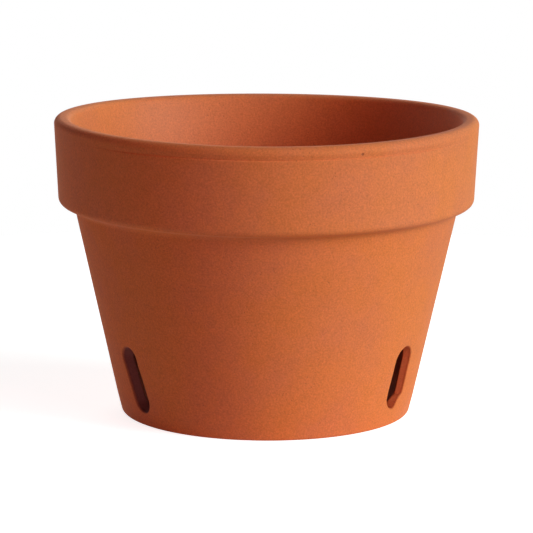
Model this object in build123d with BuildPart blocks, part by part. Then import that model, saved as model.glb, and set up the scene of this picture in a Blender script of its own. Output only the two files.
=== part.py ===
"""Orchid pot with slots, one piece of unglazed clay turned about the Z axis.

The origin is the centre of the base, on the surface that the pot stands on. The front of the pot is -Y.
Lengths are in millimetres and angles in degrees.
"""

import math
import os

from build123d import *

# Overall size
rim_radius = 79.0
pot_height = 110.8

# Collar, from the lip down to its underside, which steps in to the neck of the wall
collar_height = 31.7
collar_taper = 1.6
collar_step = 5.9
collar_underside_fall = 1.7
collar_foot_rounding = 2.2
collar_root_rounding = 1.8

# Lip at the top of the collar, with rounded edges and a top that falls a little inwards
lip_thickness = 6.0
lip_fall = 0.4
lip_outer_rounding_share = 0.38
lip_inner_rounding_share = 0.27

# Wall, a plain cone outside and inside
base_radius = 54.2
base_rounding = 2.3
wall_foot_thickness = 3.8

# Floor, with a shallow recess that leaves a ring for the pot to stand on
floor_top_height = 8.0
floor_corner_rounding = 5.0
foot_ring_width = 12.0
recess_depth = 1.5
recess_side_width = 1.5

# Drain hole in the middle of the floor
drain_radius = 9.5
drain_edge_rounding = 1.0

# Slots, cut level through the foot of the wall by hand, so their spacing and lean are uneven
slot_width = 10.3
slot_length = 24.5
slot_bottom_height = 5.9
slot_floor_bite = 1.7
slot_edge_rounding = 0.8
slot_bearings = [-55.0, 57.0, 180.0]
slot_leans = [11.5, -3.5, 4.0]

# Overrun of every cut past the surface it goes through
cut_overrun = 10.0


# Places that follow from the sizes
collar_foot_radius = rim_radius - collar_taper
neck_radius = collar_foot_radius - collar_step
lip_outer_rounding = lip_thickness * lip_outer_rounding_share
lip_inner_rounding = lip_thickness * lip_inner_rounding_share
neck_height = pot_height - collar_height - collar_underside_fall
wall_slope = (neck_radius - base_radius) / neck_height
floor_outer_radius = base_radius + wall_slope * floor_top_height
floor_inner_radius = floor_outer_radius - wall_foot_thickness
recess_radius = base_radius - foot_ring_width
slot_depth_radius = floor_inner_radius - slot_floor_bite
slot_cut_length = rim_radius + cut_overrun - slot_depth_radius
slot_middle_height = slot_bottom_height + slot_length / 2
wall_middle = ((neck_radius + base_radius) / 2, 0, neck_height / 2)

# Corners of the clay's section, from the drain hole out, up and back in:
# distance from the axis, height, rounding
section_corners = [
    (drain_radius, recess_depth, drain_edge_rounding),
    (recess_radius - recess_side_width, recess_depth, recess_depth / 2),
    (recess_radius, 0, recess_depth / 2),
    (base_radius, 0, base_rounding),
    (neck_radius, neck_height, collar_root_rounding),
    (collar_foot_radius, pot_height - collar_height, collar_foot_rounding),
    (rim_radius, pot_height, lip_outer_rounding),
    (rim_radius - lip_thickness, pot_height - lip_fall, lip_inner_rounding),
    (floor_inner_radius, floor_top_height, floor_corner_rounding),
    (drain_radius, floor_top_height, drain_edge_rounding),
]
corner_points = [(distance, height) for distance, height, rounding in section_corners]
corner_roundings = [rounding for distance, height, rounding in section_corners]


# Pot: the section turned about the axis, then the slots
with BuildPart() as pot:
    with BuildSketch(Plane.XZ):
        with BuildLine():
            FilletPolyline(*corner_points, radius=corner_roundings, close=True)
        make_face()
    revolve(axis=Axis.Z)

    # Each slot is a level cut along its bearing that stops just inside the edge of the floor
    for bearing, lean in zip(slot_bearings, slot_leans):
        slot_plane = Plane.XZ.rotated((0, 0, bearing)).offset(slot_depth_radius)
        with BuildSketch(slot_plane):
            with Locations((0, slot_middle_height)):
                SlotOverall(slot_length, slot_width, rotation=90 + lean)
        extrude(amount=slot_cut_length, mode=Mode.SUBTRACT)

    # The outer edges of the slots are softened
    outer_wall = pot.faces().sort_by_distance(wall_middle)[0]
    fillet(outer_wall.inner_wires().edges(), radius=slot_edge_rounding)

pot.part.label = "pot"

os.makedirs("parts", exist_ok=True)
export_step(pot.part, "parts/pot.step")
print("pot", round(pot.part.volume), "cubic mm")
print("wall taper", round(math.degrees(math.atan(wall_slope)), 1), "degrees")
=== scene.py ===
"""Unglazed terracotta orchid pot with slots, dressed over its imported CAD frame.

The pot is one closed skin: a section line carried round the Z axis, with a tunnel through the wall at each slot.
Bearings run from the front, -Y, towards +X. The script works in metres and radians.
"""

import functools
import math

import bpy
import numpy as np
from mathutils import Matrix, Vector


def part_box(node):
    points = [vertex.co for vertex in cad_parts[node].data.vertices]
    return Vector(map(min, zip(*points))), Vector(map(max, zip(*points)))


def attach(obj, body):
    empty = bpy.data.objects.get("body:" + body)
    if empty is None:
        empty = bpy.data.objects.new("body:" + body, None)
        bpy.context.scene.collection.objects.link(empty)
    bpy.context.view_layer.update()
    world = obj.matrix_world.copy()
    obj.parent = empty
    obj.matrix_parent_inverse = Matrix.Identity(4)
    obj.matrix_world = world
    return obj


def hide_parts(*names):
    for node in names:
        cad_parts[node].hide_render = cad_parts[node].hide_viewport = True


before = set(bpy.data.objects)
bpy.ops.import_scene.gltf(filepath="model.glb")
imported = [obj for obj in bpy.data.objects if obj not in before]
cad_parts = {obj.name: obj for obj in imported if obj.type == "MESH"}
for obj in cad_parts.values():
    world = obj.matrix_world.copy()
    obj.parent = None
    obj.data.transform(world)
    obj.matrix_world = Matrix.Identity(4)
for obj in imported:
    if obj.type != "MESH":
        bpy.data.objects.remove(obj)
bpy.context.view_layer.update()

bl_info = {
    "name": "Terracotta Orchid Pot",
    "version": (1, 0, 0),
    "blender": (4, 5, 0),
    "location": "3D View > Sidebar > Orchid Pot",
    "description": "Builds a terracotta orchid pot with hand-cut slots and a studio stage for it",
    "category": "Object",
}

SENSOR_WIDTH = 36
POT_NODE = "pot"
POT_LOW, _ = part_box(POT_NODE)


# Settings

def length(name, description, default):
    """A length setting in metres."""
    return bpy.props.FloatProperty(
        name=name, description=description, default=default, min=0.0, precision=4, unit="LENGTH", subtype="DISTANCE")


def share(name, description, default):
    """A setting from 0 to 1."""
    return bpy.props.FloatProperty(
        name=name, description=description, default=default, min=0.0, max=1.0, subtype="FACTOR")


def colour(name, description, default):
    """A colour setting, in linear red, green and blue."""
    return bpy.props.FloatVectorProperty(
        name=name, description=description, default=default, size=3, min=0.0, max=1.0, subtype="COLOR")


def angle(name, description, degrees):
    """An angle setting in radians, given in degrees."""
    return bpy.props.FloatProperty(
        name=name, description=description, default=math.radians(degrees), unit="ROTATION", subtype="ANGLE")


def per_slot(name, description, default, **kind):
    """One setting for each slot: left, right and back."""
    return bpy.props.FloatVectorProperty(name=name, description=description, default=default, size=3, **kind)


def angle_row(name, description, degrees):
    """Angles in radians for the slots, given in degrees."""
    return per_slot(name, description, [math.radians(each) for each in degrees], unit="ROTATION", subtype="EULER")


def length_row(name, description, default):
    """Lengths in metres for the slots."""
    return per_slot(name, description, default, precision=4, unit="LENGTH")


def share_row(name, description, default):
    """Shares from 0 to 1 for the slots."""
    return per_slot(name, description, default, min=0.0, max=1.0)


class OrchidPotShape(bpy.types.PropertyGroup):
    """Sizes of the clay."""

    rim_radius: length("Rim Radius", "Outside radius at the lip, before its edge is rounded", 0.079)
    height: length("Height", "From the table to the lip's outer edge, before it is rounded", 0.1108)
    collar_height: length("Collar Height", "From the lip down to the collar's lower edge", 0.0317)
    collar_taper: length("Collar Taper", "How much narrower the collar is at its lower edge", 0.0016)
    collar_step: length("Collar Step", "How far the collar stands out from the wall under it", 0.0059)
    collar_fall: length("Underside Fall", "Drop of the collar's underside towards the wall", 0.0017)
    collar_foot_rounding: length("Collar Edge Rounding", "Rounding of the collar's lower edge", 0.0025)
    collar_root_rounding: length("Collar Root Rounding", "Rounding where the collar meets the wall", 0.0034)
    lip_thickness: length("Lip Thickness", "Thickness of the clay at the lip", 0.0060)
    lip_fall: length("Lip Fall", "How far the lip's flat top falls inwards", 0.0004)
    lip_outer_rounding: length("Outer Lip Rounding", "Rounding of the lip's outer edge", 0.0025)
    lip_inner_rounding: length("Inner Lip Rounding", "Rounding of the lip's inner edge", 0.0023)
    bead_height: length("Bead Height", "Height of the sponged bead that the lip ends in", 0.0052)
    bead_undercut: length("Bead Undercut", "How far the bead draws in over the trimmed line", 0.00045)
    bead_bearing: angle("Bead Bearing", "Bearing at which the trimmed line is sharpest", 8.0)
    bead_spread: angle("Bead Spread", "How far to either side the trimmed line can be seen", 68.0)
    base_radius: length("Base Radius", "Radius of the wall, carried down to the table", 0.0542)
    base_rounding: length("Base Rounding", "Rounding of the outer edge of the base", 0.0014)
    foot_draw: length("Foot Draw", "How far the foot of the wall draws in under its cone", 0.0002)
    foot_height: length("Foot Height", "Height over which the foot of the wall draws in", 0.0066)
    wall_thickness: length("Wall Thickness", "Thickness of the wall at the floor", 0.0038)
    floor_height: length("Floor Height", "Height of the inside floor over the table", 0.008)
    floor_rounding: length("Floor Rounding", "Rounding between the floor and the wall inside", 0.005)
    ring_width: length("Foot Ring Width", "Width of the ring that the pot stands on", 0.012)
    recess_depth: length("Recess Depth", "Depth of the recess under the floor", 0.0015)
    drain_radius: length("Drain Hole Radius", "Radius of the hole in the floor", 0.0095)
    drain_rounding: length("Drain Edge Rounding", "Rounding of the drain hole's edges", 0.001)
    sway: length("Rim Sway", "How far the rim rises at the sides, as the clay dried unevenly", 0.0005)


class OrchidPotSlots(bpy.types.PropertyGroup):
    """Sizes of the hand-cut slots, in the order left, right, back."""

    bearings: angle_row("Bearings", "Bearing of each slot from the front", (-55.0, 57.45, 180.0))
    leans: angle_row("Leans", "Lean of each slot's top towards a smaller bearing", (11.8, -3.0, 4.0))
    widths: length_row("Widths", "Width of each slot at its middle", (0.0105, 0.0112, 0.0110))
    lengths: length_row("Lengths", "Length of each slot", (0.0256, 0.0248, 0.0252))
    middles: length_row("Middle Heights", "Height of each slot's middle over the table", (0.0176, 0.0187, 0.0182))
    flares: length_row("Flares", "How much wider each slot is at its top than at its bottom", (0.0020, 0.0001, 0.0012))
    notches: length_row("Notches", "How far the lower right side of each slot comes in", (0.0, 0.0020, 0.0006))
    left_bevels: length_row("Left Bevels", "How far each left face runs to the middle", (0.0020, 0.0012, 0.0012))
    right_bevels: length_row("Right Bevels", "How far each right face runs to the middle", (0.0010, 0.0016, 0.0012))
    waists: share_row("Waists", "Share of the way in at which each cut is narrowest", (0.95, 0.60, 0.75))
    spreads: length_row("Inner Spreads", "How much each side stands out at the inner wall", (0.0, 0.0010, 0.0004))
    left_roundings: length_row("Left Roundings", "Rounding of each slot's left outer edge", (0.0010, 0.0005, 0.0008))
    right_roundings: length_row("Right Roundings", "Rounding of each slot's right outer edge", (0.0003, 0.0006, 0.0008))
    depth_radius: length("Depth Radius", "Distance from the axis at which the cuts end, over the floor", 0.0505)
    inner_rounding: length("Inner Edge Rounding", "Rounding of the slots' inner edges", 0.0005)
    # Painted shade on each slot's cut faces: full on the left slot, none on the right, some on the back
    slot_shading: share_row("Slot Shading", "How far painted shade darkens each slot's cut faces", (1.0, 0.0, 0.4))
    wander: length("Wander", "How far the knife wandered off the slot's outline", 0.00022)


class OrchidPotClay(bpy.types.PropertyGroup):
    """Colours and finish of the fired clay."""

    body: colour("Body", "Main colour of the clay", (0.68, 0.181, 0.057))
    warm: colour("Warm Patches", "Oranger patches of the clay", (0.70, 0.185, 0.050))
    rosy: colour("Rosy Patches", "Pinker patches of the clay", (0.66, 0.176, 0.066))
    # On the collar this is a pale bloom of the clay; on the lip it is a painted sheen
    bloom_and_lip_sheen: colour("Bloom", "Pale bloom on the collar and the lip", (0.78, 0.30, 0.14))
    grit: colour("Grit", "Dark grains in the clay", (0.30, 0.075, 0.035))
    cut: colour("Cut Face", "Redder colour of the cut faces in the slots", (0.38, 0.056, 0.017))
    # Painted shade: the colour that darkens the slots' cut faces
    slot_shade: colour("Painted Slot Shade", "Painted shade colour of the slots' cut faces", (0.17, 0.053, 0.050))
    # Painted shade: the colour that darkens the inside towards its floor
    deep_inside_shade: colour("Painted Shade Inside", "Dark colour of the inside towards its floor", (0.16, 0.055, 0.042))
    # Painted shade: the colour that darkens the inner wall, at half strength
    inner: colour("Inner Wall", "Painted shade colour of the inner wall", (0.61, 0.172, 0.060))
    roughness: share("Roughness", "Roughness of the bare clay", 0.70)


class OrchidPotStage(bpy.types.PropertyGroup):
    """Camera, lamps and floor."""

    distance: length("Camera Distance", "From the camera to the point that it looks at", 1.0778)
    aim_height: length("Aim Height", "Height of the point that the camera looks at", 0.05413)
    aim_side: length("Aim Side", "How far to the right of the pot's axis the camera looks", 0.00021)
    elevation: angle("Camera Elevation", "Height of the camera over the horizon", 10.37)
    roll: angle("Camera Roll", "Turn of the camera about its own line of sight", 0.28)
    lens: bpy.props.FloatProperty(
        name="Lens", description=f"Focal length on a {SENSOR_WIDTH} mm sensor", default=194.0, min=1.0,
        unit="CAMERA")
    floor_radius: length("Floor Radius", "Radius of the round, lit floor", 0.4)
    floor_glow: share("Floor Glow", "Light that the floor adds to what the camera sees of it, up to white", 0.84)


# The section of the clay

def rounded_line(corners, roundings, steps=24):
    """Closed line through the corners with each corner rounded.

    A rounding reaches back from its corner by the rounding times the tangent of half the turn. Its centre lies one
    rounding to the side that the line turns to, and its points are the start's offset from the centre, turned by a
    growing share of the whole turn. Returns the points, their distance along the line and the distances at which
    each rounding begins and ends.
    """
    run_in = corners - np.roll(corners, 1, axis=0)
    run_in /= np.linalg.norm(run_in, axis=1, keepdims=True)
    run_out = np.roll(run_in, -1, axis=0)
    turn = np.arctan2(run_in[:, 0] * run_out[:, 1] - run_in[:, 1] * run_out[:, 0], (run_in * run_out).sum(axis=1))
    begin = corners - run_in * (roundings * np.tan(np.abs(turn) / 2))[:, None]
    sideways = np.stack((-run_in[:, 1], run_in[:, 0]), axis=1) * np.sign(turn)[:, None]
    centre = begin + sideways * roundings[:, None]
    angles = turn[:, None] * np.linspace(0, 1, steps)
    spoke = (begin - centre)[:, :, None]
    arcs = np.stack((spoke[:, 0] * np.cos(angles) - spoke[:, 1] * np.sin(angles),
                     spoke[:, 0] * np.sin(angles) + spoke[:, 1] * np.cos(angles)), axis=2) + centre[:, None]
    points = np.vstack((arcs.reshape(-1, 2), arcs[0, :1]))
    distance = np.append(0, np.linalg.norm(np.diff(points, axis=0), axis=1).cumsum())
    marks = distance[:-1].reshape(-1, steps)
    return points, distance, marks[:, 0], marks[:, -1]


def smooth(share_along):
    """Smooth step from 0 to 1: three times the square less twice the cube."""
    held = np.clip(share_along, 0, 1)
    return held * held * (3 - 2 * held)


class ClaySection:
    """The pot's section line and the places along it that the slots need."""

    # Rows along a slot, how far they reach past its ends, and how fast the line runs on under the cuts' foot
    slot_rows, slot_margin, run_under = 28, 0.0003, 0.35

    def __init__(self, shape, slots):
        neck_radius = shape.rim_radius - shape.collar_taper - shape.collar_step
        neck_height = shape.height - shape.collar_height - shape.collar_fall
        self.base_radius = shape.base_radius
        self.slope = (neck_radius - shape.base_radius) / neck_height
        floor_radius = shape.base_radius + self.slope * shape.floor_height - shape.wall_thickness
        lip_inner_radius = shape.rim_radius - shape.lip_thickness
        lip_inner_height = shape.height - shape.lip_fall
        inner_slope = (lip_inner_radius - floor_radius) / (lip_inner_height - shape.floor_height)
        reach = max(slots.lengths) / 2 + self.slot_margin
        self.slot_head = max(slots.middles) + reach
        trim_height = shape.height - shape.bead_height
        trim_radius = shape.rim_radius - shape.collar_taper * shape.bead_height / shape.collar_height
        undercut = shape.bead_undercut
        # The trimmed line rises a little on its way in, and the bead is nearly as wide as the lip under its middle
        trim_rise = undercut * 0.8
        bead_radius = shape.rim_radius - shape.collar_taper * 0.08
        bead_middle = trim_height + shape.bead_height * 0.4
        bead_rounding = 0.0012
        ring_radius = shape.base_radius - shape.ring_width
        drain_radius, recess_depth = shape.drain_radius, shape.recess_depth

        corners = {
            "drain_under": (drain_radius, recess_depth, shape.drain_rounding),
            "recess": (ring_radius - recess_depth, recess_depth, recess_depth / 2),
            "ring": (ring_radius, 0, recess_depth / 2),
            "base": (shape.base_radius - shape.foot_draw, 0, shape.base_rounding),
            "foot_head": (self.outer_radius(shape.foot_height), shape.foot_height, shape.foot_height * 2),
            "slot_head": (self.outer_radius(self.slot_head), self.slot_head, 0),
            "root": (neck_radius, neck_height, shape.collar_root_rounding),
            "foot": (shape.rim_radius - shape.collar_taper, shape.height - shape.collar_height,
                     shape.collar_foot_rounding),
            "trim_edge": (trim_radius, trim_height, undercut / 2),
            "trim_line": (trim_radius - undercut, trim_height + trim_rise, undercut / 3),
            "bead": (bead_radius, bead_middle, bead_rounding),
            "lip_outer": (shape.rim_radius, shape.height, shape.lip_outer_rounding),
            "lip_inner": (lip_inner_radius, lip_inner_height, shape.lip_inner_rounding),
            "inner_head": (floor_radius + inner_slope * (self.slot_head - shape.floor_height), self.slot_head, 0),
            "floor_edge": (floor_radius, shape.floor_height, shape.floor_rounding),
            "drain_over": (drain_radius, shape.floor_height, shape.drain_rounding),
        }
        table = np.array(list(corners.values()))
        points, self.distance, begins, ends = rounded_line(table[:, :2], table[:, 2])
        self.radius, self.height = points.T
        begin, end = dict(zip(corners, begins)), dict(zip(corners, ends))

        # The cuts end on the rounding at the floor's edge, where it comes as near to the axis as their depth
        edge = (self.distance >= begin["floor_edge"]) & (self.distance <= end["floor_edge"])
        self.inner_foot = np.interp(-slots.depth_radius, -self.radius[edge], self.distance[edge])
        _, self.inner_foot_height = self.at(self.inner_foot)
        self.outer_span = (end["base"], begin["root"])
        slot_foot = self.distance_at(min(slots.middles) - reach, self.outer_span)
        self.inner_span = (end["lip_inner"], end["floor_edge"])

        # Distance at which each stretch of rows begins, its rows, and whether they crowd towards its ends
        stretches = (
            (begin["drain_under"], 4, 0), (end["drain_under"], 11, 1),
            (begin["recess"], 3, 0), (end["recess"], 2, 0), (begin["ring"], 3, 0), (end["ring"], 6, 1),
            (begin["base"], 8, 0), (end["base"], 4, 0),
            (slot_foot, self.slot_rows, 0), (end["slot_head"], 20, 0),
            (begin["root"], 6, 0), (end["root"], 3, 0), (begin["foot"], 8, 0), (end["foot"], 14, 1),
            (begin["trim_edge"], 3, 0), (end["trim_edge"], 2, 0), (begin["trim_line"], 3, 0),
            (end["trim_line"], 3, 0), (begin["bead"], 3, 0), (end["bead"], 1, 0),
            (begin["lip_outer"], 12, 0), (end["lip_outer"], 2, 0), (begin["lip_inner"], 8, 0),
            (end["lip_inner"], 22, 0), (begin["inner_head"], self.slot_rows, 0),
            (self.inner_foot, 4, 0), (end["floor_edge"], 9, 1), (begin["drain_over"], 4, 0),
            (end["drain_over"], 3, 0), (self.distance[-1], 0, 0),
        )
        self.rows = np.concatenate([
            start + (stop - start) * (crowded * (1 - np.cos(np.pi * part)) / 2 + (1 - crowded) * part)
            for (start, count, crowded), (stop, *_) in zip(stretches, stretches[1:])
            for part in [np.arange(count) / count]
        ])
        self.outer_rows = self.nearest_rows(slot_foot, end["slot_head"])
        self.inner_rows = self.nearest_rows(begin["inner_head"], self.inner_foot)

    def nearest_rows(self, *places):
        """The rows nearest to these distances along the line."""
        return [int(np.abs(self.rows - place).argmin()) for place in places]

    def outer_radius(self, height):
        """Radius of the outer wall's cone at a height."""
        return self.base_radius + self.slope * height

    def at(self, distance):
        """Radius and height of the section line at a distance along it."""
        return np.interp(distance, self.distance, self.radius), np.interp(distance, self.distance, self.height)

    def place(self, bearing, distance):
        """Points on the skin: the section line's radius and height at the distance, turned to the bearing."""
        radius, height = self.at(distance)
        return np.stack((radius * np.sin(bearing), -radius * np.cos(bearing), height), axis=-1)

    def distance_at(self, height, span):
        """Distance along the line at which a span of it, up the wall or down it, passes a height."""
        inside = (self.distance >= span[0]) & (self.distance <= span[1])
        heights, distances = self.height[inside], self.distance[inside]
        order = np.argsort(heights, kind="stable")
        return np.interp(height, heights[order], distances[order])

    def inner_distance(self, height):
        """Distance along the line at which the inner wall passes a height.

        Under the foot of the cuts it runs on from there by the missing height times a fixed share.
        """
        above = self.distance_at(np.maximum(height, self.inner_foot_height), self.inner_span)
        return above + np.maximum(self.inner_foot_height - height, 0) * self.run_under


# The hand-cut slots

# Rings of a slot's tunnel: angles round its outer edge, rings of the level cut, angles round its inner edge, and the
# share of cut face of every ring
OUTER_ANGLES, LEVEL_RINGS, INNER_ANGLES = (22.5, 45, 67.5, 90), 12, (60, 30)
RING_SHARES = (0.25, 0.5, 0.75, 1.0) + (1.0,) * LEVEL_RINGS + (0.7, 0.3)

# Vertex attributes that say how much of the clay there is cut face, and how much of that cut face is darkened by
# painted shade
CUT_FACE, SHADED_CUT_FACE = "cut_face", "shaded_cut_face"


def evenly(points, count):
    """Closed line through the points, cut into equal lengths by its distance along itself."""
    closed = np.vstack((points, points[:1]))
    along = np.append(0, np.linalg.norm(np.diff(closed, axis=0), axis=1).cumsum())
    wanted = np.arange(count) / count * along[-1]
    return np.stack([np.interp(wanted, along, values) for values in closed.T], axis=1)


def outward(points):
    """Unit normals of a closed clockwise line: its direction of travel turned a quarter to the left."""
    travel = np.roll(points, -1, axis=0) - np.roll(points, 1, axis=0)
    travel /= np.linalg.norm(travel, axis=1, keepdims=True)
    return np.stack((-travel[:, 1], travel[:, 0]), axis=1)


def cut_outline(slots, index, waves, count=360):
    """Outline of one slot's outer edge as (across, height), clockwise from its top.

    A circle as wide as the cut is parted in the middle to the cut's length. The sides flare towards the top, the
    lower right side comes in by the notch, and slow waves along the line stand for the unsteady knife. The whole is
    then leaned and raised to its middle height.
    """
    width, extent, lean = slots.widths[index], slots.lengths[index], slots.leans[index]
    turn = np.linspace(0, 2 * np.pi, count, endpoint=False) + np.pi / count
    circle = np.stack((np.sin(turn), np.cos(turn)), axis=1) * width / 2
    circle[:, 1] += np.sign(circle[:, 1]) * (extent - width) / 2
    across, along = evenly(circle, count).T
    across = across * (1 + slots.flares[index] / width * along / extent)
    notch_start, notch_run = extent * 0.27, extent * 0.08
    across -= slots.notches[index] * smooth(across / width * 2) * smooth((-along - notch_start) / notch_run)
    line = evenly(np.stack((across, along), axis=1), count)
    share_along = np.arange(count) / count
    wave = sum(size * np.cos(2 * np.pi * (order * share_along + start))
               for order, (size, start) in enumerate(waves, start=2))
    across, along = (line + outward(line) * (slots.wander * wave)[:, None]).T
    return np.stack((across * math.cos(lean) - along * math.sin(lean),
                     across * math.sin(lean) + along * math.cos(lean) + slots.middles[index]), axis=1)


def fit_round(outline, share_round):
    """The outline's points and unit normals at shares of the way round it, between its own ones."""
    closed = np.column_stack((outline, outward(outline)))
    closed = np.vstack((closed, closed[:1]))
    marks = np.linspace(0, 1, len(closed))
    fitted = np.stack([np.interp(share_round, marks, values) for values in closed.T], axis=1)
    edge, normal = fitted[:, :2], fitted[:, 2:]
    return edge, normal / np.linalg.norm(normal, axis=1, keepdims=True)


def edge_of_block(rows, columns):
    """Grid places round a block, clockwise from its top left, as seen from outside: rows is (top, bottom)."""
    top, bottom = rows
    left, right = columns
    across = np.arange(left, right)
    down = top + np.sign(bottom - top) * np.arange(abs(bottom - top))
    return (np.concatenate((np.full(len(across), top), down, np.full(len(across), bottom), top + bottom - down)),
            np.concatenate((across, np.full(len(down), right), left + right - across, np.full(len(down), left))))


def cut_drift(slots, index, side, way):
    """How far to the right a cut has run at a share of its way in.

    Up to the waist, each face runs towards the slot's middle by its bevel, in proportion to the way. From there it
    runs back, and at the inner wall it lies outside the outer edge by the spread. The side is 0 on the left and 1 on
    the right.
    """
    waist, spread = slots.waists[index], slots.spreads[index]
    narrowing = np.minimum(way / waist, 1)
    widening = np.maximum(way - waist, 0) / (1 - waist)
    left, right = (bevels[index] * narrowing - (bevels[index] + spread) * widening
                   for bevels in (slots.left_bevels, slots.right_bevels))
    return left * (1 - side) - right * side


def tunnel_rings(section, outline, normal, rounding, drift, slots):
    """Rings of a slot's tunnel as (out, across, height), from just inside the outer edge to the inner edge.

    The outer edge is a quarter round: at each angle the ring lies inside the outline by the rounding times the sine,
    and under the wall's face by the rounding times one less the cosine. Then the cut runs level towards the axis, and
    aside by its drift, until it breaks through the inner wall, or stops at the depth radius and rises up the end of
    the cut. The rings share that path evenly. The inner edge is rounded as the outer one is.
    """
    across, height = (outline - normal * rounding[:, None]).T

    def outer_face(across_at, height_at):
        radius, _ = section.at(section.distance_at(height_at, section.outer_span))
        return np.sqrt(radius ** 2 - across_at ** 2)

    def inner_place(across_at, height_at):
        radius, height_there = section.at(section.inner_distance(height_at))
        return np.sqrt(radius ** 2 - across_at ** 2), height_there

    rings = []
    for quarter in np.radians(OUTER_ANGLES):
        inset = outline - normal * (rounding * math.sin(quarter))[:, None]
        out = outer_face(*inset.T) - rounding * (1 - math.cos(quarter))
        rings.append(np.column_stack((out, inset)))
    inner_across = across + drift(1.0)
    inner_out, inner_height = inner_place(inner_across, height)
    level_end = np.maximum(inner_out, slots.depth_radius) + slots.inner_rounding
    start = rings[-1][:, 0]
    level, rise = start - level_end, np.maximum(inner_height - height, 0)
    for part in np.linspace(0, 1, LEVEL_RINGS + 1)[1:]:
        travelled = part * (level + rise)
        inward = np.minimum(travelled, level)
        rings.append(np.column_stack((start - inward, across + drift(inward / level),
                                      height + np.maximum(travelled - level, 0))))
    for quarter in np.radians(INNER_ANGLES):
        aside = slots.inner_rounding * (1 - math.sin(quarter))
        out, up = inner_place(inner_across + normal[:, 0] * aside, height + normal[:, 1] * aside)
        rings.append(np.column_stack((out + slots.inner_rounding * (1 - math.cos(quarter)),
                                      inner_across + normal[:, 0] * aside, up)))
    return np.array(rings)


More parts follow.
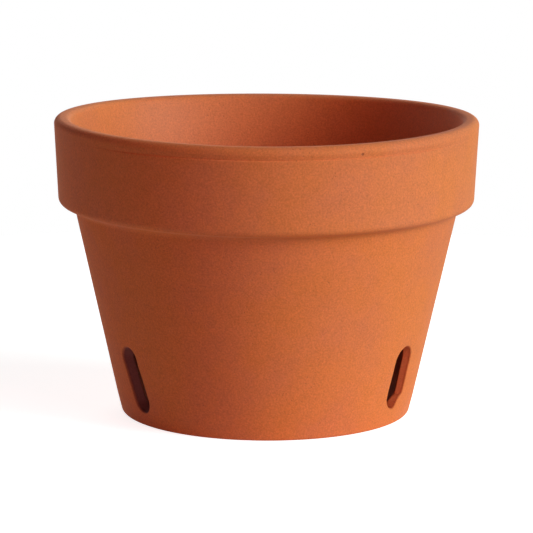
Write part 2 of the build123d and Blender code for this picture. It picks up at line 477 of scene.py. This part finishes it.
class PotSkin:
    """The pot's skin, with a tunnel through the wall at each slot.

    The skin is a grid of rows along the section line and columns round the axis, both closed. At each slot a block
    of the grid is left out of the outer and the inner wall. The block's edge is moved onto the cut's outline, the
    grid round it gives way by an amount that fades with the distance, and a tunnel joins the two edges. Every moved
    place is still on the section line, so the wall stays true.
    """

    # The columns start between the left and the back slot, and crowd by this much over this bearing at a slot
    columns, first_bearing = 424, math.radians(-120)
    crowding, crowded_bearing = 0.9, 0.16
    # How far the grid gives way round a block, and over what length it gives less at the ends of a wall's span
    fade, end_fade = 0.009, 0.0012
    seed, wave_count = 7, 5

    def __init__(self, shape, slots):
        self.shape, self.slots = shape, slots
        self.section = ClaySection(shape, slots)
        self.column_bearing = self.spread_columns()
        self.bearing, self.distance = np.meshgrid(self.column_bearing, self.section.rows)
        self.new_bearing, self.new_distance = self.bearing.copy(), self.distance.copy()
        self.kept = np.ones(self.bearing.shape, bool)
        self.numbers = np.arange(self.bearing.size).reshape(self.bearing.shape)
        self.count = self.bearing.size
        self.tunnels, self.tunnel_faces, self.cut_shares = [], [], []
        random = np.random.default_rng(self.seed)
        for index in range(len(slots.bearings)):
            sizes = random.uniform(0.4, 1.0, self.wave_count) / np.arange(1, self.wave_count + 1)
            self.cut_slot(index, list(zip(sizes, random.uniform(0, 1, self.wave_count))))

    def spread_columns(self):
        """Bearings of the columns: they share evenly the running total of one plus a bell curve at each slot."""
        fine = np.linspace(-np.pi, np.pi, 4001)
        away = (fine[:, None] - np.array(self.slots.bearings) + np.pi) % (2 * np.pi) - np.pi
        total = (1 + self.crowding * np.exp(-(away / self.crowded_bearing) ** 2).sum(axis=1)).cumsum()
        spread = np.interp(np.arange(self.columns) / self.columns * total[-1], total - total[0], fine)
        return np.sort((spread - self.first_bearing) % (2 * np.pi)) + self.first_bearing

    def cut_slot(self, index, waves):
        """Leaves a slot's blocks out of the outer and the inner wall and joins their edges by its tunnel."""
        section, slots = self.section, self.slots
        slot_bearing = slots.bearings[index]
        outline = cut_outline(slots, index, waves)
        middle_radius = section.outer_radius(slots.middles[index])
        half_block = slots.widths[index] / 2 / middle_radius
        away = self.column_bearing[:, None] - slot_bearing
        left, right = np.abs(away - np.array((-half_block, half_block))).argmin(axis=0)
        foot, head = section.outer_rows
        outer_block = edge_of_block((head, foot), (left, right))
        inner_block = edge_of_block(section.inner_rows, (left, right))

        # The outline is shared out by the length of the block's edge, which starts half its width before the top
        block_width = (self.column_bearing[right] - self.column_bearing[left]) * middle_radius
        block_length = section.rows[head] - section.rows[foot]
        row = outer_block[0]
        steps = np.where(np.diff(row, append=row[0]) != 0, block_length / (head - foot), block_width / (right - left))
        share_round = (np.append(0, steps.cumsum()[:-1]) - block_width / 2) / steps.sum() % 1
        edge, normal = fit_round(outline, share_round)

        side = smooth(normal[:, 0] / 2 + 0.5)
        rounding = slots.left_roundings[index] * (1 - side) + slots.right_roundings[index] * side
        drift = functools.partial(cut_drift, slots, index, side)
        inner_edge = edge + normal * (slots.inner_rounding - rounding)[:, None]
        inner_edge[:, 0] += drift(1.0)
        outer_along = section.distance_at(edge[:, 1], section.outer_span)
        inner_along = section.inner_distance(inner_edge[:, 1])
        self.give_way(outer_block, slot_bearing, edge[:, 0], outer_along, section.outer_span, middle_radius)
        self.give_way(inner_block, slot_bearing, inner_edge[:, 0], inner_along, section.inner_span, middle_radius)

        rings = tunnel_rings(section, edge, normal, rounding, drift, slots)
        out, across, height = rings.reshape(-1, 3).T
        sine, cosine = math.sin(slot_bearing), math.cos(slot_bearing)
        self.tunnels.append(np.column_stack((out * sine + across * cosine, -out * cosine + across * sine, height)))
        ring_numbers = self.count + np.arange(len(out)).reshape(rings.shape[:2])
        self.count += len(out)
        loops = np.vstack((self.numbers[outer_block], ring_numbers, self.numbers[inner_block]))
        following = np.roll(loops, -1, axis=1)
        faces = np.stack((following[:-1], loops[:-1], loops[1:], following[1:]), axis=-1)
        self.tunnel_faces.append(faces.reshape(-1, 4))
        shares = np.repeat(RING_SHARES, rings.shape[1])
        # The second share is painted shade on the cut face, scaled for each slot
        self.cut_shares.append(np.column_stack((shares, shares * slots.slot_shading[index])))

    def give_way(self, block, slot_bearing, across, along, span, middle_radius):
        """Moves a block's edge to places across the slot and along the line, and leaves the block out.

        A grid place outside the block moves as the nearest place of its edge does, by a share that falls from one at
        the edge to nothing at the fade. Its move along the line also dies out towards the ends of the span.
        """
        rows_at, columns_at = block
        top, bottom, left, right = rows_at.min(), rows_at.max(), columns_at.min(), columns_at.max()
        radius, _ = self.section.at(along)
        shift = np.zeros((2, *self.bearing.shape))
        shift[0, rows_at, columns_at] = slot_bearing + np.arcsin(across / radius) - self.bearing[block]
        shift[1, rows_at, columns_at] = along - self.distance[block]
        all_rows, all_columns = np.ogrid[:self.bearing.shape[0], :self.bearing.shape[1]]
        nearest = np.clip(all_rows, top, bottom), np.clip(all_columns, left, right)
        far = np.hypot(self.distance - self.distance[nearest], (self.bearing - self.bearing[nearest]) * middle_radius)
        give = smooth(1 - far / self.fade)
        end_give = smooth(np.minimum(self.distance - span[0], span[1] - self.distance) / self.end_fade)
        on_edge = np.zeros(self.bearing.shape, bool)
        on_edge[block] = True
        moved = (nearest[0] != all_rows) | (nearest[1] != all_columns) | on_edge
        self.new_bearing += np.where(moved, give * shift[0][nearest], 0)
        self.new_distance += np.where(moved, give * np.where(on_edge, 1, end_give) * shift[1][nearest], 0)
        self.kept[top:bottom, left:right] = False

    def mesh(self):
        """Vertices, faces and, for each vertex, the shares of cut face and of cut face darkened by painted shade."""
        skin = self.section.place(self.new_bearing, self.new_distance).reshape(-1, 3)
        below, beside = np.roll(self.numbers, -1, axis=0), np.roll(self.numbers, -1, axis=1)
        across_corner = np.roll(below, -1, axis=1)
        skin_faces = np.stack((self.numbers, beside, across_corner, below), axis=-1)[self.kept]
        vertices = np.vstack((skin, *self.tunnels))
        cut_share = np.vstack((np.zeros((len(skin), 2)), *self.cut_shares))
        faces = np.vstack((skin_faces, *self.tunnel_faces))

        # Places inside the blocks belong to no face, so they are left out and the others are numbered anew
        needed = np.zeros(len(vertices), bool)
        needed[faces] = True
        renumbered = needed.cumsum() - 1
        vertices, cut_share, faces = vertices[needed], cut_share[needed], renumbered[faces]
        around = np.arctan2(vertices[:, 0], -vertices[:, 1])
        vertices = fill_trim_line(vertices, around, self.shape)

        # The sway begins at two sevenths of the height and is full at the lip
        risen = smooth(vertices[:, 2] / self.shape.height * 1.4 - 0.4)
        vertices[:, 2] -= self.shape.sway * np.cos(2 * around) * risen
        return vertices, faces, cut_share


def fill_trim_line(vertices, around, shape):
    """Vertices with the trimmed line filled up to the collar's face, away from the bearing where it is sharpest.

    The collar's face is a cone. From just under the bead up to the lip's rounding, a vertex inside that cone moves out
    to it by a share that grows with the bearing's distance from the sharpest place. Near that place none moves.
    """
    unmoved_share, skin_depth = 0.45, 0.001
    radius, height = np.hypot(vertices[:, 0], vertices[:, 1]), vertices[:, 2]
    below = shape.height - height
    face = shape.rim_radius - shape.collar_taper * below / shape.collar_height
    in_band = (below > shape.lip_outer_rounding * 1.02) & (below < shape.bead_height * 1.1)
    on_bead = in_band & (radius > face - skin_depth)
    away = np.abs((around - shape.bead_bearing + np.pi) % (2 * np.pi) - np.pi)
    filled = smooth((away / shape.bead_spread - unmoved_share) / (1 - unmoved_share)) * on_bead
    wider = 1 + filled * (face - radius) / radius
    return vertices * np.column_stack((wider, wider, np.ones(len(wider))))


def place_object(name, data):
    """A new object in the scene, with its mesh, lamp or camera."""
    holder = bpy.data.objects.new(name, data)
    bpy.context.scene.collection.objects.link(holder)
    return holder


def mesh_piece(name, vertices, faces):
    """A new object whose mesh holds the vertices and four-sided faces, shaded smooth."""
    mesh = bpy.data.meshes.new(name)
    mesh.vertices.add(len(vertices))
    mesh.vertices.foreach_set("co", vertices.astype(np.float32).ravel())
    mesh.loops.add(faces.size)
    mesh.loops.foreach_set("vertex_index", faces.astype(np.int32).ravel())
    mesh.polygons.add(len(faces))
    mesh.polygons.foreach_set("loop_start", np.arange(0, faces.size, 4, dtype=np.int32))
    mesh.polygons.foreach_set("use_smooth", np.ones(len(faces), bool))
    mesh.update(calc_edges=True)
    mesh.validate()
    return place_object(name, mesh)


# Materials

class Worth:
    """A number socket in a node tree, for use in Python expressions."""

    def __init__(self, finish, socket):
        self.finish, self.socket = finish, socket

    def calculate(self, operation, other, swapped=False):
        values = (other, self) if swapped else (self, other)
        return self.finish.node("ShaderNodeMath", {"operation": operation}, dict(enumerate(values)))

    __add__ = __radd__ = functools.partialmethod(calculate, "ADD")
    __sub__ = functools.partialmethod(calculate, "SUBTRACT")
    __rsub__ = functools.partialmethod(calculate, "SUBTRACT", swapped=True)
    __mul__ = functools.partialmethod(calculate, "MULTIPLY")
    __truediv__ = functools.partialmethod(calculate, "DIVIDE")
    __pow__ = functools.partialmethod(calculate, "POWER")

    def between(self, low, high):
        """Smooth mask: 0 up to the low value and 1 from the high value."""
        return self.finish.node("ShaderNodeMapRange", {"interpolation_type": "SMOOTHSTEP"},
                                {"Value": self, "From Min": low, "From Max": high})


class Finish:
    """The node tree of a new material or world, with short ways to add and join nodes."""

    def __init__(self, owner, output="ShaderNodeOutputMaterial"):
        owner.use_nodes = True
        self.owner, self.tree = owner, owner.node_tree
        self.tree.nodes.clear()
        self.output = self.tree.nodes.new(output)

    def node(self, kind, settings=None, sockets=None, output=0):
        """Adds a node: its settings are set first, then its sockets get values or links.

        Returns one of its outputs, given by name, or by number among those in use.
        """
        node = self.tree.nodes.new(kind)
        for name, value in (settings or {}).items():
            setattr(node, name, value)
        for key, value in (sockets or {}).items():
            self.join(value, node.inputs[key])
        outputs = [socket for socket in node.outputs if socket.enabled]
        names = [socket.name for socket in outputs]
        return Worth(self, outputs[names.index(output) if isinstance(output, str) else output])

    def join(self, value, socket):
        """Links a socket to another, or sets its value."""
        if isinstance(value, Worth):
            self.tree.links.new(value.socket, socket)
        else:
            socket.default_value = value

    def mix(self, first, second, share_of_second, blend="MIX"):
        """A colour between two colours."""
        node = self.tree.nodes.new("ShaderNodeMix")
        node.data_type, node.blend_type = "RGBA", blend
        self.join(share_of_second, node.inputs["Factor"])
        for value, socket in zip((first, second), [s for s in node.inputs if s.type == "RGBA"]):
            self.join(value if isinstance(value, Worth) else (*value, 1.0), socket)
        return Worth(self, [s for s in node.outputs if s.type == "RGBA"][0])

    def vector(self, *parts):
        """A vector from its three parts."""
        return self.node("ShaderNodeCombineXYZ", None, dict(enumerate(parts)))

    def noise(self, vector, scale, detail, roughness):
        """Noise from about 0 to 1 on a vector."""
        return self.node("ShaderNodeTexNoise", None, {
            "Vector": vector, "Scale": scale, "Detail": detail, "Roughness": roughness})

    def grains(self, vector, scale, low, high):
        """Mask of round grains on a vector: 1 up to the low distance from each grain's middle and 0 from the high."""
        distance = self.node("ShaderNodeTexVoronoi", None, {"Vector": vector, "Scale": scale})
        return 1 - distance.between(low, high)

    def seen(self):
        """1 to the camera, in reflections and through what lets light pass, and 0 to the light on other surfaces."""
        path = self.tree.nodes.new("ShaderNodeLightPath")
        rays = [Worth(self, path.outputs[f"Is {ray} Ray"]) for ray in ("Camera", "Glossy", "Transmission")]
        return functools.reduce(lambda one, other: one.calculate("MAXIMUM", other), rays)

    def surface(self, shader):
        """Makes a shader the surface of the material or world."""
        self.join(shader, self.output.inputs["Surface"])


def terracotta(clay, shape, wall_slope):
    """Bare fired clay: soft patches of colour, faint turning and drag marks, grit, pores whose dark colour is painted
    shade, a pale bloom on the collar and a pitted lip with a painted sheen. Painted shade also darkens the inner wall,
    the inside towards its floor and some slots' cut faces.
    """
    finish = Finish(bpy.data.materials.new("terracotta"))
    place = finish.node("ShaderNodeTexCoord", output="Object")
    x, y, z = (finish.node("ShaderNodeSeparateXYZ", None, {0: place}, output=axis) for axis in "XYZ")
    radius = (x * x + y * y) ** 0.5
    ring_rate, drag_rate, drag_rise = 260, 60, 14
    turned = finish.vector(x / radius, y / radius, z * ring_rate)
    dragged = finish.vector(x / radius * drag_rate, y / radius * drag_rate, z * drag_rise)

    patches = finish.noise(place, scale=34, detail=3, roughness=0.55)
    spots = finish.noise(place, scale=210, detail=2, roughness=0.6)
    grain = finish.noise(place, scale=1500, detail=2, roughness=0.6)
    rings = finish.noise(turned, scale=1, detail=3, roughness=0.6)
    drags = finish.noise(dragged, scale=1, detail=3, roughness=0.6)
    grit_rate = finish.noise(place, scale=95, detail=1, roughness=0.5).between(0.53, 0.66)
    pore_rate = finish.noise(place, scale=70, detail=1, roughness=0.5).between(0.50, 0.60)

    # Masks by place, soft over the span given. Depth is how far a place lies in from the outer wall's cone
    top, bead, collar_foot = shape.height, shape.bead_height, shape.height - shape.collar_height
    depth = shape.base_radius + z * wall_slope - radius
    on_bead = z.between(top - bead * 1.1, top - bead * 0.8) * (1 - z.between(top - bead * 0.5, top - bead * 0.3))
    on_face = radius.between(shape.rim_radius - 0.003, shape.rim_radius - 0.002)
    on_right = (x / radius).between(0.05, 0.25)
    # The top 2.2 mm of the pot: the bloom colour laid here is a painted sheen, and the clay is rougher
    lip = z.between(top - 0.0022, top)
    # Painted shade inside the pot: full from its floor up to 14 mm, gone by 62 mm
    deep_inside_shaded = depth.between(0.0030, 0.0038) * z.between(0.0040, 0.0075) * (1 - z.between(0.014, 0.062))
    behind_lip = (shape.rim_radius - radius).between(shape.lip_thickness - 0.0015, shape.lip_thickness + 0.0015)
    # The inner wall from about 60 mm up, fading out by 30 mm: painted shade darkens it, and the clay there is smoother
    inside = behind_lip * z.between(0.030, 0.060) * depth.between(0.0, 0.0030)
    collar = z.between(collar_foot - 0.001, collar_foot + 0.001) * (1 - inside)
    grit = finish.grains(place, 640, 0.10, 0.24) * grit_rate
    # Pits on the bead's right front: the bump gives their relief, and their dark grit colour is painted shade
    shaded_pores = finish.grains(place, 360, 0.12, 0.26) * on_bead * pore_rate * on_face * on_right
    # The second attribute is painted shade on the slots' cut faces
    cut, slot_shaded = (finish.node("ShaderNodeAttribute", {"attribute_name": name}, output="Fac")
                  for name in (CUT_FACE, SHADED_CUT_FACE))

    # Colours laid over the two kinds of patch, each by its mask times its strength. The bloom's share on the lip is a
    # painted sheen, the grit colour on the pores is painted shade, and the inner wall, deep inside shade and slot shade
    # layers are painted shade
    shade = finish.mix(clay.rosy, clay.warm, patches.between(0.36, 0.64))
    for layer, amount in (
            (clay.body, spots.between(0.35, 0.75) * 0.6), (clay.bloom_and_lip_sheen, collar * 0.09 + lip * 0.2),
            (clay.inner, inside * 0.5), (clay.cut, cut * 0.85), (clay.slot_shade, slot_shaded * 0.9),
            (clay.deep_inside_shade, deep_inside_shaded * (0.6 + patches * 0.4)), (clay.grit, grit * 0.35), (clay.grit, shaded_pores * 0.8)):
        shade = finish.mix(shade, layer, amount)

    # How far each noise lightens and darkens the colour about its middle
    light = 1
    for noise, swing in ((grain, 0.62), (rings, 0.06), (drags, 0.05), (spots, 0.14)):
        light = light + (noise - 0.5) * swing
    shade = finish.mix(shade, finish.vector(light, light, light), 1.0, "MULTIPLY")

    relief = grain * 0.5 + rings * 0.35 + spots * 0.25 - grit * 0.4 - shaded_pores * 1.6
    bump = finish.node("ShaderNodeBump", None, {"Strength": 0.45, "Distance": 0.0003, "Height": relief})
    rough = clay.roughness + (grain - 0.5) * 0.2 + lip * 0.1 - inside * 0.2
    finish.surface(finish.node("ShaderNodeBsdfPrincipled", None, {
        "Base Color": shade, "Roughness": rough, "Normal": bump, "Specular IOR Level": 0.16}))
    return finish.owner


def white_floor(settings, base_radius):
    """White floor that shows the camera a lit white with the pot's soft shadow, and lights the pot from below.

    It adds no light of its own where the pot stands on it, so that the drain hole looks onto a shaded floor.
    """
    finish = Finish(bpy.data.materials.new("white_floor"))
    whiteness = 0.88
    paint = finish.node("ShaderNodeBsdfDiffuse", None, {"Color": (whiteness, whiteness, whiteness, 1)})
    place = finish.node("ShaderNodeTexCoord", output="Object")
    from_axis = finish.node("ShaderNodeVectorMath", {"operation": "LENGTH"}, {0: place}, output="Value")
    open_floor = from_axis.between(base_radius - 0.009, base_radius - 0.001)
    glow = finish.node("ShaderNodeEmission", None, {
        "Color": finish.mix((0, 0, 0), (1, 1, 1), open_floor), "Strength": settings.floor_glow})
    lit = finish.node("ShaderNodeAddShader", None, {0: paint, 1: glow})
    finish.surface(finish.node("ShaderNodeMixShader", None, {0: finish.seen(), 1: paint, 2: lit}))
    return finish.owner


# Operators

class ORCHIDPOT_OT_turn_pot(bpy.types.Operator):
    """Turns the clay pot, with its collar, slots and drain hole"""

    bl_idname = "orchidpot.turn_pot"
    bl_label = "Turn Pot"
    bl_options = {"REGISTER", "UNDO"}

    def execute(self, context):
        scene = context.scene
        shape, slots = scene.orchid_pot_shape, scene.orchid_pot_slots
        skin = PotSkin(shape, slots)
        vertices, faces, cut_share = skin.mesh()
        pot = mesh_piece("clay_pot", vertices, faces)
        if len(pot.data.vertices) != len(vertices):
            raise RuntimeError("the clay pot's mesh was changed when it was validated")
        # The second attribute carries painted shade on the slots' cut faces
        for name, values in zip((CUT_FACE, SHADED_CUT_FACE), cut_share.T):
            attribute = pot.data.attributes.new(name, "FLOAT", "POINT")
            attribute.data.foreach_set("value", values.astype(np.float32))
        pot.data.materials.append(terracotta(scene.orchid_pot_clay, shape, skin.section.slope))
        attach(pot, "root")
        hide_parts(POT_NODE)
        return {"FINISHED"}


class ORCHIDPOT_OT_set_stage(bpy.types.Operator):
    """Sets the floor, lamps, world and camera round the pot"""

    bl_idname = "orchidpot.set_stage"
    bl_label = "Set Stage"
    bl_options = {"REGISTER", "UNDO"}

    # Lamp: bearing, elevation and angle in degrees, strength, colour
    lamps = {
        "key": (68, 22, 34, 1.85, (0.74, 1.0, 0.98)),
        "low": (72, 8, 30, 1.05, (0.38, 1.0, 0.88)),
        "front": (48, 22, 34, 1.20, (1.0, 0.44, 0.46)),
        "fill": (-10, 10, 50, 0.26, (1.0, 0.16, 0.16)),
        "rear": (-112, 8, 34, 0.27, (0.90, 0.52, 0.50)),
        "back": (178, 24, 40, 0.60, (1.0, 1.0, 1.0)),
    }
    # Distance of the lamps, the world's light on the clay, and the nearest and farthest that the camera sees
    lamp_distance, world_strength, clip = 2, 0.01, (0.05, 50)

    def execute(self, context):
        scene = context.scene
        settings = scene.orchid_pot_stage
        self.lay_floor(settings)
        for name, (bearing, elevation, spread, strength, tint) in self.lamps.items():
            lamp = bpy.data.lights.new(name, "SUN")
            lamp.energy, lamp.color, lamp.angle = strength, tint, math.radians(spread)
            holder = place_object(name, lamp)
            across, up = math.radians(bearing), math.radians(elevation)
            towards = Vector((math.sin(across) * math.cos(up), -math.cos(across) * math.cos(up), math.sin(up)))
            holder.location = towards * self.lamp_distance
            holder.rotation_euler = (-towards).to_track_quat("-Z", "Y").to_euler()
        self.light_world(scene)
        self.place_camera(scene, settings)
        scene.view_settings.view_transform = "Standard"
        return {"FINISHED"}

    def lay_floor(self, settings):
        """Round floor at the CAD's lowest place: rings of points at growing radii, the first closed by one face."""
        spokes, ring_count, first_radius = 96, 14, 0.02
        bearing = np.arange(spokes) / spokes * 2 * np.pi
        radii = np.geomspace(first_radius, settings.floor_radius, ring_count)
        rings = np.stack((radii[:, None] * np.cos(bearing), radii[:, None] * np.sin(bearing),
                          np.full((len(radii), spokes), POT_LOW[2])), axis=-1).reshape(-1, 3)
        numbers = np.arange(len(rings)).reshape(len(radii), spokes)
        following = np.roll(numbers, -1, axis=1)
        sides = np.stack((numbers[:-1], numbers[1:], following[1:], following[:-1]), axis=-1).reshape(-1, 4)
        mesh = bpy.data.meshes.new("floor")
        mesh.from_pydata(rings.tolist(), [], sides.tolist() + [numbers[0].tolist()])
        mesh.materials.append(white_floor(settings, bpy.context.scene.orchid_pot_shape.base_radius))
        floor = place_object("floor", mesh)

    def light_world(self, scene):
        """World that is white to the camera and in reflections, and a dim, even grey to the clay."""
        scene.world = bpy.data.worlds.new("studio")
        finish = Finish(scene.world, "ShaderNodeOutputWorld")
        dim, white = (finish.node("ShaderNodeBackground", None, {"Color": (1, 1, 1, 1), "Strength": strength})
                      for strength in (self.world_strength, 1.0))
        finish.surface(finish.node("ShaderNodeMixShader", None, {0: finish.seen(), 1: dim, 2: white}))

    def place_camera(self, scene, settings):
        """Camera at the photograph's angle, aimed at the pot's axis."""
        camera = place_object("camera", bpy.data.cameras.new("camera"))
        back = Vector((0, -math.cos(settings.elevation), math.sin(settings.elevation)))
        camera.location = Vector((settings.aim_side, 0, settings.aim_height)) + back * settings.distance
        turn = (-back).to_track_quat("-Z", "Y").to_matrix() @ Matrix.Rotation(settings.roll, 3, "Z")
        camera.rotation_euler = turn.to_euler()
        camera.data.lens, camera.data.sensor_width = settings.lens, SENSOR_WIDTH
        camera.data.clip_start, camera.data.clip_end = self.clip
        scene.camera = camera


class ORCHIDPOT_PT_sidebar(bpy.types.Panel):
    """Lists the pot's settings and operators"""

    bl_idname = "ORCHIDPOT_PT_sidebar"
    bl_label = "Orchid Pot"
    bl_space_type = "VIEW_3D"
    bl_region_type = "UI"
    bl_category = "Orchid Pot"

    def draw(self, context):
        for operator, groups in ((ORCHIDPOT_OT_turn_pot, ("shape", "slots", "clay")),
                                 (ORCHIDPOT_OT_set_stage, ("stage",))):
            box = self.layout.box()
            for group in groups:
                settings = getattr(context.scene, "orchid_pot_" + group)
                for name in settings.__annotations__:
                    box.prop(settings, name)
            box.operator(operator.bl_idname)


SETTINGS = {
    "orchid_pot_shape": OrchidPotShape,
    "orchid_pot_slots": OrchidPotSlots,
    "orchid_pot_clay": OrchidPotClay,
    "orchid_pot_stage": OrchidPotStage,
}
CLASSES = (*SETTINGS.values(), ORCHIDPOT_OT_turn_pot, ORCHIDPOT_OT_set_stage, ORCHIDPOT_PT_sidebar)


def register():
    for each in CLASSES:
        bpy.utils.register_class(each)
    for name, group in SETTINGS.items():
        setattr(bpy.types.Scene, name, bpy.props.PointerProperty(type=group))


def unregister():
    for name in SETTINGS:
        delattr(bpy.types.Scene, name)
    for each in reversed(CLASSES):
        bpy.utils.unregister_class(each)


def main():
    register()
    bpy.ops.orchidpot.turn_pot()
    bpy.ops.orchidpot.set_stage()


if __name__ == "__main__":
    main()
